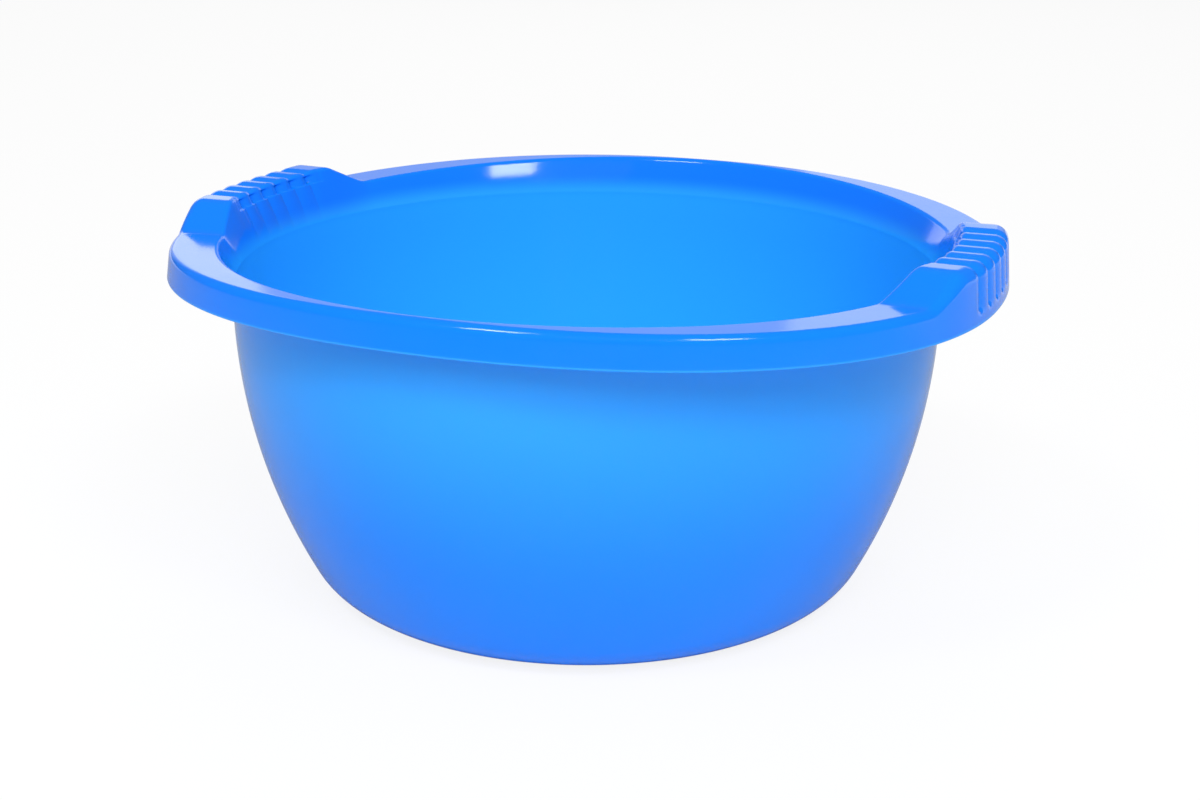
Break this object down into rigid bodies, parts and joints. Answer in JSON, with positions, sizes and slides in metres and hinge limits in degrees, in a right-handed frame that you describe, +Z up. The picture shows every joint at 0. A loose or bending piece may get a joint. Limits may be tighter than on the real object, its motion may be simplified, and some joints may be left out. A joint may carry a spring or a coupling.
{
  "type": "washing up bowl",
  "caption": "Round washing up bowl with a flat flanged rim, a hanging skirt and a raised ribbed grip at each end.",
  "frame": {"origin": "centre of the foot ring, on the surface that the bowl stands on", "axes": "+X through the right grip, +Y towards the back of the rim, +Z up out of the bowl's mouth"},
  "size_m": [0.3894, 0.3566, 0.1765],
  "materials": {
    "blue_plastic": "glossy injection-moulded polypropylene"
  },
  "bodies": {
    "root": {"base": "blue_plastic", "wall": "blue_plastic", "front_rim": "blue_plastic", "back_rim": "blue_plastic", "left_handle": "blue_plastic", "right_handle": "blue_plastic"}
  },
  "joints": []
}
